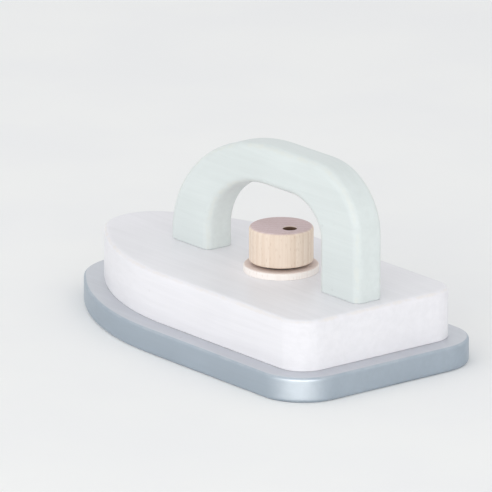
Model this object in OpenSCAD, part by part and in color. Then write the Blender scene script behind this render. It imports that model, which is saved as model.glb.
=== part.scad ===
// Wooden toy iron: a grey soleplate, a white body, a mint arch handle and a wooden dial that turns.
// Millimetres. +X points to the tip, +Y to the left, +Z up.
// The origin is on the surface that the iron stands on, under the middle of the soleplate.

/* [Soleplate] */
// Length of the soleplate from heel to tip
sole_l = 158; // [146:1:172]
// Width of the soleplate
sole_w = 86; // [80:1:92]
// Thickness of the soleplate
sole_t = 9; // [7:0.5:11]
// Radius of the two heel corners, seen from above
heel_corner_r = 17.5; // [13:0.5:22]
// Radius of the long curve that each side takes towards the tip
side_arc_r = 105; // [96:1:120]
// Radius of the tip, seen from above
nose_r = 25; // [20:0.5:30]
// Rounding along the soleplate's upper and lower edges
sole_edge_r = 1.2; // [0.6:0.1:1.8]

/* [Body block] */
// Step left all round between the soleplate's edge and the body
ledge = 7.2; // [5:0.2:9]
// Height of the body block
body_h = 18; // [16:0.5:22]
// Rounding along the body's upper edge
body_edge_r = 2; // [1:0.1:3]

/* [Handle] */
// Thickness of the board that the handle is cut from
handle_t = 12; // [11:0.5:16]
// Length of the handle over both feet
handle_l = 104; // [99:1:110]
// Height of the handle above the body
handle_h = 45.5; // [42:0.5:50]
// Distance from the body's heel to the handle
handle_setback = 5.5; // [3:0.5:8]
// Length of the foot at the heel end
heel_foot_l = 21; // [18:0.5:24]
// Length of the foot at the tip end
tip_foot_l = 21.5; // [19:0.5:24]
// Height of the grip bar above the finger opening
grip_h = 14.8; // [12:0.2:17]
// Straight rise of the handle's outer edge at the heel end, before it bends
heel_rise = 22.5; // [18:0.5:26]
// Length that the outer bend at the heel end takes
heel_bend_l = 25.5; // [20:0.5:30]
// Straight rise of the handle's outer edge at the tip end, before it bends
tip_rise = 2.5; // [1:0.5:8]
// Length that the outer bend at the tip end takes
tip_bend_l = 57; // [50:0.5:62]
// Straight rise of the opening's edge at the heel end, before it bends
inner_heel_rise = 18; // [14:0.5:22]
// Length that the opening's bend at the heel end takes
inner_heel_bend_l = 16.5; // [12:0.5:20]
// Straight rise of the opening's edge at the tip end, before it bends
inner_tip_rise = 7; // [4:0.5:12]
// Length that the opening's bend at the tip end takes
inner_tip_bend_l = 31; // [26:0.5:34]
// Rounding along the handle's long edges
handle_edge_r = 2.8; // [1.6:0.1:4]

/* [Dial] */
// Place of the dial along the finger opening, as a share from the heel end
dial_place_share = 0.45; // [0.4:0.01:0.55]
// Diameter of the wooden ring under the dial
ring_d = 26.4; // [24.4:0.2:29]
// Thickness of the ring
ring_t = 2.5; // [1.8:0.1:3.5]
// Rounding of the ring's upper edge
ring_edge_r = 0.8; // [0.4:0.1:1.2]
// Diameter of the felt washer between ring and knob
felt_d = 17; // [14:0.5:19]
// Thickness of the felt washer
felt_t = 1; // [0.6:0.1:1.5]
// Diameter of the knob
knob_d = 22.4; // [20.6:0.2:24]
// Height of the knob
knob_h = 12.5; // [11:0.5:15]
// Rounding of the knob's upper edge
knob_edge_r = 1.2; // [0.6:0.1:2]
// Bevel of the knob's lower edge
knob_bevel = 0.6; // [0.2:0.1:1]
// Diameter of the hole that marks the way the dial points
pointer_d = 5; // [4:0.2:5.6]
// Depth of the pointer hole
pointer_depth = 3.2; // [1.6:0.1:3.6]
// Distance from the knob's axis to the pointer hole's axis
pointer_offset = 4.7; // [4.4:0.1:6.4]

/* [Dial fixing] */
// Diameter of the screw that the dial turns with
dial_screw_d = 4; // [3.4:0.1:4.4]
// Length of that screw under its head
dial_screw_l = 25; // [22:0.5:25.5]
// Diameter of its head
dial_head_d = 8; // [7:0.2:9]
// Height of its head
dial_head_h = 2.8; // [2:0.1:3.4]
// Diameter of the pocket under the body that holds the head
dial_pocket_d = 13; // [11.6:0.2:15]
// Depth of that pocket
dial_pocket_h = 7; // [6.4:0.2:7.6]
// Outer diameter of the plain washer
washer_d = 10; // [9:0.2:11]
// Thickness of the plain washer
washer_t = 0.9; // [0.6:0.1:1.2]
// Outer diameter of the spring washer
spring_washer_d = 7.4; // [6.8:0.2:8.4]
// Thickness of the spring washer
spring_washer_t = 1.1; // [0.8:0.1:1.3]
// Width of the cut through the spring washer
spring_cut_w = 0.8; // [0.5:0.1:1.2]

/* [Handle fixing] */
// Diameter of the two screws that hold the handle
handle_screw_d = 4; // [3.4:0.1:4.4]
// Length of those screws, heads included
handle_screw_l = 35; // [30:0.5:37]
// Diameter of their countersunk heads
handle_head_d = 8; // [7:0.2:8.8]
// Depth of their heads below the body's lower face
handle_head_sink = 2; // [1:0.2:3]
// Diameter of the dowels in the handle's feet
dowel_d = 6; // [5:0.5:6.5]
// Length of the dowels, half of it in the handle
dowel_l = 20; // [16:1:22]
// Bevel at both ends of a dowel
dowel_bevel = 0.6; // [0.3:0.1:1]
// Place of the screw along a foot, as a share from its heel end
foot_screw_share = 0.28; // [0.25:0.01:0.32]
// Place of the dowel along a foot, as a share from its heel end
foot_dowel_share = 0.69; // [0.66:0.01:0.72]

/* [Soleplate fixing] */
// Diameter of the four screws that hold the soleplate
sole_screw_d = 3.5; // [3:0.1:4]
// Length of those screws, heads included
sole_screw_l = 20; // [16:0.5:22]
// Diameter of their countersunk heads
sole_head_d = 7; // [6:0.2:8]
// Depth of their heads below the soleplate's lower face
sole_head_sink = 0.4; // [0.3:0.1:1]
// Distance of the rear pair from the heel
rear_screw_x = 26; // [22:0.5:34]
// Distance of each rear screw from the middle line
rear_screw_y = 22; // [16:0.5:25]
// Distance of the front pair from the heel
front_screw_x = 114; // [106:0.5:118]
// Distance of each front screw from the middle line
front_screw_y = 15; // [12:0.5:20]

/* [Screw threads] */
// Distance from one thread to the next
thread_pitch = 1.6; // [1.2:0.1:2.2]
// Depth of the thread
thread_depth = 0.45; // [0.3:0.05:0.6]
// Length of a screw's point
screw_point_l = 3; // [2:0.2:4]

/* [Clearances] */
// Radial gap round screws and dowels that stay still in the wood
fit_gap = 0.1; // [0.05:0.01:0.15]
// Radial gap round the dial screw, which turns in the body
run_gap = 0.05; // [0.02:0.01:0.09]
// Gap between faces that turn past each other
face_gap = 0.1; // [0.05:0.01:0.2]
// Room left past the end of a screw or a dowel in its hole
end_gap = 0.4; // [0.2:0.1:0.8]

/* [Hidden] */
$fn = 72;

// Steps along the arcs of the outlines and across the rounded edges
corner_steps = 10;
side_steps = 16;
nose_steps = 10;
bend_steps = 16;
edge_steps = 5;
// Overrun of every cut past the face that it opens
overrun = 1;
// Height of a countersunk head's cone, as a share of the step from its shank to its rim
head_cone_share = 1;
// Cross recess of the screw heads: length, width and depth as shares of the head's diameter
recess_length_share = 0.56;
recess_width_share = 0.13;
recess_depth_share = 0.22;
// Share of the pan head's height that is its straight rim
pan_rim_share = 0.35;

// Levels, from the surface up
body_z = sole_t;
deck_z = sole_t + body_h;
felt_z = deck_z + ring_t;
knob_z = felt_z + felt_t + face_gap;
pocket_top_z = body_z + dial_pocket_h;
washer_z = pocket_top_z - washer_t;
spring_z = washer_z - face_gap - spring_washer_t;
dial_tip_z = spring_z + dial_screw_l;

// Places along the iron
heel_x = -sole_l / 2;
handle_x = heel_x + ledge + handle_setback;
opening_x = handle_x + heel_foot_l;
opening_l = handle_l - heel_foot_l - tip_foot_l;
opening_h = handle_h - grip_h;
tip_foot_x = opening_x + opening_l;
dial_x = opening_x + opening_l * dial_place_share;
foot_screw_places = [handle_x + heel_foot_l * foot_screw_share, tip_foot_x + tip_foot_l * foot_screw_share];
foot_dowel_places = [handle_x + heel_foot_l * foot_dowel_share, tip_foot_x + tip_foot_l * foot_dowel_share];
sole_screw_places = [for (side = [-1, 1]) each [[heel_x + rear_screw_x, side * rear_screw_y],
                                                [heel_x + front_screw_x, side * front_screw_y]]];

// The side arc starts where the straight side ends, and runs into the nose arc without a corner
side_centre_y = sole_w / 2 - side_arc_r;
nose_x = sole_l / 2 - nose_r;
side_end_x = nose_x - sqrt(pow(side_arc_r - nose_r, 2) - pow(side_centre_y, 2));
nose_angle = atan2(-side_centre_y, nose_x - side_end_x);

// Points of an arc from angle a to angle b, leaving out the first few
function arc(centre, r, a, b, steps, skip = 0) =
    [for (i = [skip:steps]) let (t = a + (b - a) * i / steps) centre + r * [cos(t), sin(t)]];

// The iron's outline seen from above, set in by d all round, anticlockwise from the tip
function plan_side(d) = concat(
    arc([nose_x, 0], nose_r - d, 0, nose_angle, nose_steps),
    arc([side_end_x, side_centre_y], side_arc_r - d, nose_angle, 90, side_steps, 1),
    arc([heel_x + heel_corner_r, sole_w / 2 - heel_corner_r], heel_corner_r - d, 90, 180, corner_steps));
function mirrored(side) = [for (i = [len(side) - 1:-1:1]) [side[i][0], -side[i][1]]];
function plan(d) = concat(plan_side(d), mirrored(plan_side(d)));

// Points of an elliptic bend, moved by d along its outward normal
function bend(centre, rx, ry, a, b, d) =
    [for (i = [0:bend_steps])
        let (t = a + (b - a) * i / bend_steps, n = [cos(t) / rx, sin(t) / ry])
        centre + [rx * cos(t), ry * sin(t)] + d * n / norm(n)];

// The handle's outline seen from the side, set in by d, anticlockwise from the tip foot
function arch(d) = concat(
    [[handle_x + handle_l - d, 0]],
    bend([handle_x + handle_l - tip_bend_l, tip_rise], tip_bend_l, handle_h - tip_rise, 0, 90, -d),
    bend([handle_x + heel_bend_l, heel_rise], heel_bend_l, handle_h - heel_rise, 90, 180, -d),
    [[handle_x + d, 0], [opening_x - d, 0]],
    bend([opening_x + inner_heel_bend_l, inner_heel_rise], inner_heel_bend_l,
         opening_h - inner_heel_rise, 180, 90, d),
    bend([tip_foot_x - inner_tip_bend_l, inner_tip_rise], inner_tip_bend_l,
         opening_h - inner_tip_rise, 90, 0, d),
    [[tip_foot_x + d, 0]]);

// Rounded edge below a face at level z, or above one where up is 1: pairs of inset and level
function round_off(z, r, up = -1) =
    [for (i = [0:edge_steps])
        let (t = 90 * (up < 0 ? i : edge_steps - i) / edge_steps)
        [r * (1 - cos(t)), z + up * r * (1 - sin(t))]];

// A list of 3-D loops with as many points each, made into one closed solid. The end faces are zigzags
// between the loop's first half and its second, which suits a round outline and an arch alike.
module loft(loops) {
    n = len(loops[0]);
    last = (len(loops) - 1) * n;
    walls = [for (j = [0:n:last - n], i = [0:n - 1])
        let (a = j + i, b = j + (i + 1) % n)
        each [[a, a + n, b + n], [a, b + n, b]]];
    zigzag = [for (i = [0:n - 3])
        let (a = ceil(i / 2), b = n - 1 - floor(i / 2))
        [a, i % 2 == 0 ? a + 1 : b - 1, b]];
    roof = [for (t = zigzag) [last + t[2], last + t[1], last + t[0]]];
    polyhedron(points = [for (loop = loops) each loop], faces = concat(zigzag, walls, roof), convexity = 6);
}

function at_level(loop, z) = [for (p = loop) [p[0], p[1], z]];

// A countersunk head's cone, with gap g round it, opening downwards from level 0
module countersink(head_d, shank_d, g) {
    cone_h = (head_d - shank_d) / 2 * head_cone_share;
    cylinder(h = cone_h, r1 = head_d / 2 + g, r2 = shank_d / 2 + g);
}

// The two crossed slots of a screw head, cut up into it from level 0
module cross_recess(head_d) {
    depth = head_d * recess_depth_share;
    for (turn = [0, 90])
        rotate([0, 0, turn])
            translate([-head_d * recess_length_share / 2, -head_d * recess_width_share / 2, -overrun])
                cube([head_d * recess_length_share, head_d * recess_width_share, depth + overrun]);
}

// Half section of a threaded stretch between two levels, ending in a point
function thread_section(r, low, high) =
    let (turns = max(1, floor((high - screw_point_l - low) / thread_pitch)), root = r - thread_depth,
         top = low + turns * thread_pitch)
    concat([for (i = [0:turns - 1]) each [[root, low + i * thread_pitch],
                                          [r, low + (i + 1 / 2) * thread_pitch]]],
           [[root, top], [0, high]]);

// A countersunk wood screw that points up, its head's flat face at level 0
module wood_screw(d, length, head_d, plain_l) {
    cone_h = (head_d - d) / 2 * head_cone_share;
    difference() {
        rotate_extrude()
            polygon(concat([[0, 0], [head_d / 2, 0], [d / 2, cone_h], [d / 2, plain_l]],
                           thread_section(d / 2, plain_l, length)));
        cross_recess(head_d);
    }
}

// The hole for such a screw: a way in of depth sink, the head's cone and the shank
module screw_hole(d, length, head_d, sink) {
    translate([0, 0, -overrun])
        cylinder(h = sink + overrun, r = head_d / 2 + fit_gap);
    translate([0, 0, sink])
        countersink(head_d, d, fit_gap);
    translate([0, 0, sink])
        cylinder(h = length + end_gap, r = d / 2 + fit_gap);
}

module sole_screw_holes() {
    for (place = sole_screw_places)
        translate([place[0], place[1], 0])
            screw_hole(sole_screw_d, sole_screw_l, sole_head_d, sole_head_sink);
}

module handle_screw_holes() {
    for (x = foot_screw_places)
        translate([x, 0, body_z])
            screw_hole(handle_screw_d, handle_screw_l, handle_head_d, handle_head_sink);
}

module dowel_holes() {
    for (x = foot_dowel_places)
        translate([x, 0, deck_z - dowel_l / 2 - end_gap])
            cylinder(h = dowel_l + 2 * end_gap, r = dowel_d / 2 + fit_gap);
}

// Grey painted board that slides over the cloth
module soleplate() {
    color([0.64, 0.69, 0.73])
        difference() {
            loft([for (e = concat(round_off(0, sole_edge_r, 1), round_off(sole_t, sole_edge_r)))
                at_level(plan(e[0]), e[1])]);
            sole_screw_holes();
        }
}

// White painted block with the holes for everything that is fixed to it
module body_block() {
    color([0.95, 0.95, 0.97])
        difference() {
            loft([for (e = concat([[0, body_z]], round_off(deck_z, body_edge_r)))
                at_level(plan(ledge + e[0]), e[1])]);
            sole_screw_holes();
            handle_screw_holes();
            dowel_holes();
            translate([dial_x, 0, body_z - overrun])
                cylinder(h = dial_pocket_h + overrun, r = dial_pocket_d / 2);
            translate([dial_x, 0, body_z])
                cylinder(h = body_h + overrun, r = dial_screw_d / 2 + run_gap);
        }
}

// Mint painted arch, cut from one board and stood on edge
module handle() {
    color([0.87, 0.91, 0.90])
        difference() {
            translate([0, 0, deck_z])
                rotate([90, 0, 0])
                    loft([for (e = concat(round_off(-handle_t / 2, handle_edge_r, 1),
                                          round_off(handle_t / 2, handle_edge_r)))
                        at_level(arch(e[0]), e[1])]);
            handle_screw_holes();
            dowel_holes();
        }
}

// Two long screws, driven up through the body into the handle's feet
module handle_screws() {
    color("silver")
        for (x = foot_screw_places)
            translate([x, 0, body_z + handle_head_sink])
                wood_screw(handle_screw_d, handle_screw_l, handle_head_d, body_h - handle_head_sink);
}

// Two dowels that keep the handle's feet in line with the body
module handle_dowels() {
    color("burlywood")
        for (x = foot_dowel_places)
            translate([x, 0, deck_z - dowel_l / 2])
                rotate_extrude()
                    polygon([[0, 0], [dowel_d / 2 - dowel_bevel, 0], [dowel_d / 2, dowel_bevel],
                             [dowel_d / 2, dowel_l - dowel_bevel], [dowel_d / 2 - dowel_bevel, dowel_l],
                             [0, dowel_l]]);
}

// Four screws, driven up through the soleplate into the body
module sole_screws() {
    color("silver")
        for (place = sole_screw_places)
            translate([place[0], place[1], sole_head_sink])
                wood_screw(sole_screw_d, sole_screw_l, sole_head_d, sole_t - sole_head_sink);
}

// A round piece whose upper edge is rounded and whose lower edge may be bevelled
function turned_section(r, h, edge_r, bevel) = concat(
    [[0, 0], [r - bevel, 0], [r, bevel]],
    arc([r - edge_r, h - edge_r], edge_r, 0, 90, edge_steps),
    [[0, h]]);

// Bare wooden ring, glued to the body under the dial
module dial_ring() {
    color("wheat")
        translate([dial_x, 0, deck_z])
            difference() {
                rotate_extrude()
                    polygon(turned_section(ring_d / 2, ring_t, ring_edge_r, 0));
                translate([0, 0, -overrun])
                    cylinder(h = ring_t + 2 * overrun, r = dial_screw_d / 2 + fit_gap);
            }
}

// Dark felt washer, which leaves the thin dark line between ring and knob
module felt_washer() {
    color("dimgray")
        translate([dial_x, 0, felt_z])
            difference() {
                cylinder(h = felt_t, r = felt_d / 2);
                translate([0, 0, -overrun])
                    cylinder(h = felt_t + 2 * overrun, r = dial_screw_d / 2 + fit_gap);
            }
}

// Bare wooden knob, with a blind hole near its rim that shows which way it points
module dial_knob() {
    color("wheat")
        translate([dial_x, 0, knob_z])
            difference() {
                rotate_extrude()
                    polygon(turned_section(knob_d / 2, knob_h, knob_edge_r, knob_bevel));
                translate([-pointer_offset, 0, knob_h - pointer_depth])
                    cylinder(h = pointer_depth + overrun, r = pointer_d / 2);
                translate([0, 0, -overrun])
                    cylinder(h = dial_tip_z - knob_z + end_gap + overrun, r = dial_screw_d / 2 + fit_gap);
            }
}

// Pan head screw, driven up into the knob, which turns with it
module dial_screw() {
    rim_h = dial_head_h * pan_rim_share;
    crown_h = dial_head_h - rim_h;
    plain_l = knob_z - spring_z;
    crown = [for (i = [0:edge_steps])
        let (t = 90 * i / edge_steps)
        [dial_head_d / 2 * sin(t), -rim_h - crown_h * cos(t)]];
    neck = [[dial_head_d / 2, 0], [dial_screw_d / 2, 0], [dial_screw_d / 2, plain_l]];
    color("silver")
        translate([dial_x, 0, spring_z])
            difference() {
                rotate_extrude()
                    polygon(concat(crown, neck, thread_section(dial_screw_d / 2, plain_l, dial_screw_l)));
                translate([0, 0, -dial_head_h])
                    cross_recess(dial_head_d);
            }
}

// Plain washer against the pocket's roof
module plain_washer() {
    color("gainsboro")
        translate([dial_x, 0, washer_z])
            difference() {
                cylinder(h = washer_t, r = washer_d / 2);
                translate([0, 0, -overrun])
                    cylinder(h = washer_t + 2 * overrun, r = dial_screw_d / 2 + fit_gap);
            }
}

// Split spring washer on the screw's head, which keeps the dial stiff to turn
module spring_washer() {
    color("gray")
        translate([dial_x, 0, spring_z])
            difference() {
                cylinder(h = spring_washer_t, r = spring_washer_d / 2);
                translate([0, 0, -overrun])
                    cylinder(h = spring_washer_t + 2 * overrun, r = dial_screw_d / 2 + fit_gap);
                translate([0, -spring_cut_w / 2, -overrun])
                    cube([spring_washer_d / 2 + overrun, spring_cut_w, spring_washer_t + 2 * overrun]);
            }
}

soleplate();
body_block();
handle();
handle_screws();
handle_dowels();
sole_screws();
dial_ring();
felt_washer();
dial_knob();
dial_screw();
plain_washer();
spring_washer();
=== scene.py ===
import math
import bmesh
import bpy
import numpy as np
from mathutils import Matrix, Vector
from mathutils.geometry import delaunay_2d_cdt


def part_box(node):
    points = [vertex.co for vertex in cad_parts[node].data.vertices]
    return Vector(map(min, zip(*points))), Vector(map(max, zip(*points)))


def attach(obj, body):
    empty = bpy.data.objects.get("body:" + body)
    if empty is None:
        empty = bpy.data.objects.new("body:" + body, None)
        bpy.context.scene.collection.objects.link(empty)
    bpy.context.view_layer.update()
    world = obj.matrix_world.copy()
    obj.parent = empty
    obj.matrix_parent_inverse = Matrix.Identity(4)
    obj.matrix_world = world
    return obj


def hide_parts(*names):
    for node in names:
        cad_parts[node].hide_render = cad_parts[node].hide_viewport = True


# A wooden toy iron: painted soleplate, body and arch handle, and a bare wooden dial that turns.
# Metres. +X points to the tip, +Y to the iron's left, +Z up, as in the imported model.

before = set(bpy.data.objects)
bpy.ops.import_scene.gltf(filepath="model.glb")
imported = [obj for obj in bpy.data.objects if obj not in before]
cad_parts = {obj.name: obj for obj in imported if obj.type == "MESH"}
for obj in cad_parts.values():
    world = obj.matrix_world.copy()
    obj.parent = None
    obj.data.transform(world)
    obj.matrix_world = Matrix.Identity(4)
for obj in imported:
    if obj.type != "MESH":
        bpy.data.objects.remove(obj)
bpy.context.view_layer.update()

MM = 0.001

# Outline of the soleplate and the body, seen from above
HEEL_CORNER_R = 17.5 * MM
SIDE_ARC_R = 105 * MM
NOSE_R = 25 * MM
SOLE_EDGE_R = 1.2 * MM
BODY_EDGE_R = 2.0 * MM

# Outline of the handle, seen from the side
HEEL_FOOT_L = 21 * MM
TIP_FOOT_L = 21.5 * MM
GRIP_H = 14.8 * MM
OUTER_HEEL = dict(rise=22.5 * MM, length=25.5 * MM)
OUTER_TIP = dict(rise=2.5 * MM, length=57 * MM)
INNER_HEEL = dict(rise=18 * MM, length=16.5 * MM)
INNER_TIP = dict(rise=7 * MM, length=31 * MM)
HANDLE_EDGE_R = 2.8 * MM

# Dial
RING_EDGE_R = 0.8 * MM
FELT_EDGE_R = 0.25 * MM
KNOB_EDGE_R = 1.2 * MM
KNOB_BEVEL = 0.6 * MM
POINTER_R = 2.5 * MM
POINTER_DEPTH = 3.2 * MM
POINTER_OFFSET = 4.7 * MM
DIMPLE_R = 0.4 * MM
DIMPLE_DEPTH = 0.3 * MM
POCKET_R = 6.5 * MM
POCKET_DEPTH = 7 * MM
WASHER_EDGE_R = 0.15 * MM
SPRING_CUT = 0.8 * MM

# Felt washer's rim: how far it wanders, and the waves round it and the phase of each sine
FELT_FUZZ = 0.05 * MM
FUZZ_WAVES = ((7, 0), (17, 1), (31, 2))

# A screw's radius, its head's radius, its length and the depth that its head is let in
HANDLE_SCREW = dict(r=2 * MM, head_r=4 * MM, length=35 * MM, sink=2 * MM)
SOLE_SCREW = dict(r=1.75 * MM, head_r=3.5 * MM, length=20 * MM, sink=0.4 * MM)
DIAL_SCREW = dict(r=2 * MM, head_r=4 * MM, length=25 * MM)
DIAL_HEAD_H = 2.8 * MM
DIAL_CROWN_H = 1.82 * MM
HEAD_RIM_H = 0.12 * MM

# Thread and point: a larger flank makes a narrower ridge, and the curve is the power that rounds the point
THREAD_PITCH = 1.6 * MM
THREAD_DEPTH = 0.45 * MM
THREAD_FLANK = 1.6
SCREW_POINT = 3 * MM
POINT_CURVE = 0.8

# Cross recess, as shares of the head's radius: its arm, half its slot's width and its depth. Then the foot of
# its walls, as shares of those
RECESS = dict(arm=0.56, slot=0.13, depth=0.44)
RECESS_FLOOR = dict(arm=0.35, slot=0.7, depth=0.9)

# Dowels: the bevel at each end, a flute's depth and how many flutes there are
DOWEL_BEVEL = 0.6 * MM
DOWEL_FLUTE = 0.25 * MM
DOWEL_FLUTES = 16

# Room round a fastener, round the dial's screw in the body, and past an end
FIT_GAP = 0.1 * MM
RUN_GAP = 0.05 * MM
END_GAP = 0.4 * MM

# Where fasteners sit: shares of the foot's length, and distances along from the heel and aside
FOOT_SCREW_SHARE = 0.28
FOOT_DOWEL_SHARE = 0.69
REAR_SCREW = (26 * MM, 22 * MM)
FRONT_SCREW = (114 * MM, 15 * MM)

# Softened arris where one piece meets the next, and the flat strip kept beside every rounding
ARRIS = 0.3 * MM
STRIP = 0.5 * MM

# Points along the arcs of the outlines, across a rounded edge, and round a hole, a turned piece and a dowel.
# Rows of thread to one pitch, and of a screw's face as shares of the way from its recess to its rim
CORNER_POINTS = 28
SIDE_POINTS = 56
BEND_POINTS = 64
EDGE_POINTS = 11
SMALL_EDGE_POINTS = 6
HOLE_POINTS = 48
ROUND_POINTS = 120
DOWEL_POINTS = 128
THREAD_ROWS = 12
HEAD_ROWS = (0, 0.1, 0.25, 0.4, 0.55, 0.7, 0.8, 0.9, 0.96, 1)

# Points nearer than the weld become one, faces that meet at more than the sharp angle, in degrees, keep a
# crease, and the bare wood of a drilled hole begins at this share of its first step
WELD = 0.002 * MM
SHARP_ANGLE = 35
MOUTH_SHARE = 0.1


def node_box(name):
    low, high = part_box(name)
    return np.array(low), np.array(high)


sole_low, sole_high = node_box("soleplate")
body_low, body_high = node_box("body_block")
handle_low, handle_high = node_box("handle")
ring_low, ring_high = node_box("dial_ring")
felt_low, felt_high = node_box("felt_washer")
knob_low, knob_high = node_box("dial_knob")
washer_low, washer_high = node_box("plain_washer")
spring_low, spring_high = node_box("spring_washer")
dowel_low, dowel_high = node_box("handle_dowels")

SOLE_W = sole_high[1] - sole_low[1]
DECK_Z = body_high[2]
LEDGE = body_low[0] - sole_low[0]
HANDLE_H = handle_high[2] - handle_low[2]
OPENING_X = handle_low[0] + HEEL_FOOT_L
TIP_FOOT_X = handle_high[0] - TIP_FOOT_L
DOWEL_R = (dowel_high[1] - dowel_low[1]) / 2
DIAL_AT = np.array([(knob_low[0] + knob_high[0]) / 2, 0])
DIAL_BORE_R = DIAL_SCREW["r"] + FIT_GAP

foot_screws = [np.array([handle_low[0] + HEEL_FOOT_L * FOOT_SCREW_SHARE, 0]),
               np.array([TIP_FOOT_X + TIP_FOOT_L * FOOT_SCREW_SHARE, 0])]
foot_dowels = [np.array([handle_low[0] + HEEL_FOOT_L * FOOT_DOWEL_SHARE, 0]),
               np.array([TIP_FOOT_X + TIP_FOOT_L * FOOT_DOWEL_SHARE, 0])]
sole_screws = [np.array([sole_low[0] + along, side * aside])
               for side in (-1, 1) for along, aside in (REAR_SCREW, FRONT_SCREW)]


# Outlines

def arc(centre, radius, start, end, count):
    """Arc of a circle: the centre plus the radius times the cosine and sine of evenly spaced angles."""
    angle = np.radians(np.linspace(start, end, count))
    return np.asarray(centre) + radius * np.stack([np.cos(angle), np.sin(angle)], -1)


def circle(centre, radius, count=HOLE_POINTS):
    """Closed circle, its last point left out because it is the first again."""
    return arc(centre, radius, 0, 360, count + 1)[:-1]


def plan_outline(inset):
    """The iron from above: a nose arc runs into a long side arc, a straight side and a heel corner arc,
    and the other half mirrors it. An inset keeps the arcs' centres and takes it off every radius."""
    side_y = SOLE_W / 2 - SIDE_ARC_R
    nose_x = sole_high[0] - NOSE_R
    side_x = nose_x - math.sqrt((SIDE_ARC_R - NOSE_R) ** 2 - side_y ** 2)
    meet = math.degrees(math.atan2(-side_y, nose_x - side_x))
    corner = (sole_low[0] + HEEL_CORNER_R, SOLE_W / 2 - HEEL_CORNER_R)
    half = np.concatenate([arc((nose_x, 0), NOSE_R - inset, 0, meet, CORNER_POINTS),
                           arc((side_x, side_y), SIDE_ARC_R - inset, meet, 90, SIDE_POINTS)[1:],
                           arc(corner, HEEL_CORNER_R - inset, 90, 180, CORNER_POINTS)])
    return np.concatenate([half, (half * [1, -1])[:0:-1]])


def bend(corner_x, toward, rise, length, height, start, end, grow):
    """Elliptic bend of the handle from a straight rise to a level top. Its centre lies one length from the
    corner, its radii are that length and the height left above the rise, and grow moves it outwards."""
    angle = np.radians(np.linspace(start, end, BEND_POINTS))
    radii = np.array([length, height - rise])
    unit = np.stack([np.cos(angle), np.sin(angle)], -1)
    normal = unit / radii
    normal /= np.linalg.norm(normal, axis=1)[:, None]
    return np.array([corner_x + toward * length, DECK_Z + rise]) + unit * radii + grow * normal


def outer_edge(inset, base):
    """The handle's outer edge, from the tip foot over the top to the heel foot, as x and z."""
    tip = bend(handle_high[0], -1, height=HANDLE_H, start=0, end=90, grow=-inset, **OUTER_TIP)
    heel = bend(handle_low[0], 1, height=HANDLE_H, start=90, end=180, grow=-inset, **OUTER_HEEL)
    return np.concatenate([[[handle_high[0] - inset, base]], tip, heel, [[handle_low[0] + inset, base]]])


def inner_edge(inset, base):
    """The edge of the finger opening, from the heel foot over the top to the tip foot, as x and z."""
    height = HANDLE_H - GRIP_H
    heel = bend(OPENING_X, 1, height=height, start=180, end=90, grow=inset, **INNER_HEEL)
    tip = bend(TIP_FOOT_X, -1, height=height, start=90, end=0, grow=inset, **INNER_TIP)
    return np.concatenate([[[OPENING_X - inset, base]], heel, tip, [[TIP_FOOT_X + inset, base]]])


def rounding(radius):
    """Quarter circle of a rounded edge, from the face to the side: pairs of inset and depth."""
    angle = np.linspace(0, math.pi / 2, EDGE_POINTS)
    return radius - radius * np.stack([np.sin(angle), np.cos(angle)], -1)


def rows_across(low, high, low_r, high_r):
    """Rows across a board's edge, from a strip of one face to a strip of the other, with both edges rounded.
    Gives each row's inset, its height and how exposed it is to rubbing, which is most on a rounding."""
    under, over = rounding(low_r), rounding(high_r)[::-1]
    inset = np.concatenate([[low_r + STRIP], under[:, 0], [0, 0], over[:, 0], [high_r + STRIP]])
    height = np.concatenate([[low], low + under[:, 1], [low + low_r + STRIP, high - high_r - STRIP],
                             high - over[:, 1], [high]])
    hump = np.sin(np.linspace(0, math.pi, EDGE_POINTS))
    return inset, height, np.concatenate([[0], hump, [0, 0], hump, [0]])


def rounded_section(inner, outer, low, high, corner):
    """Half section of a small ring: a rectangle of radius by height with its four corners rounded."""
    middles = [((outer - corner, high - corner), 0), ((inner + corner, high - corner), 90),
               ((inner + corner, low + corner), 180), ((outer - corner, low + corner), 270)]
    return np.concatenate([arc(middle, corner, start, start + 90, SMALL_EDGE_POINTS)
                           for middle, start in middles])


# Meshes

def level(outline, z):
    """Points of a flat outline lifted to height z."""
    return np.column_stack([outline, np.full(len(outline), z)])


def upright(outline, y):
    """Points of an outline in x and z, put at one y."""
    return np.column_stack([outline[:, 0], np.full(len(outline), y), outline[:, 1]])


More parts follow.
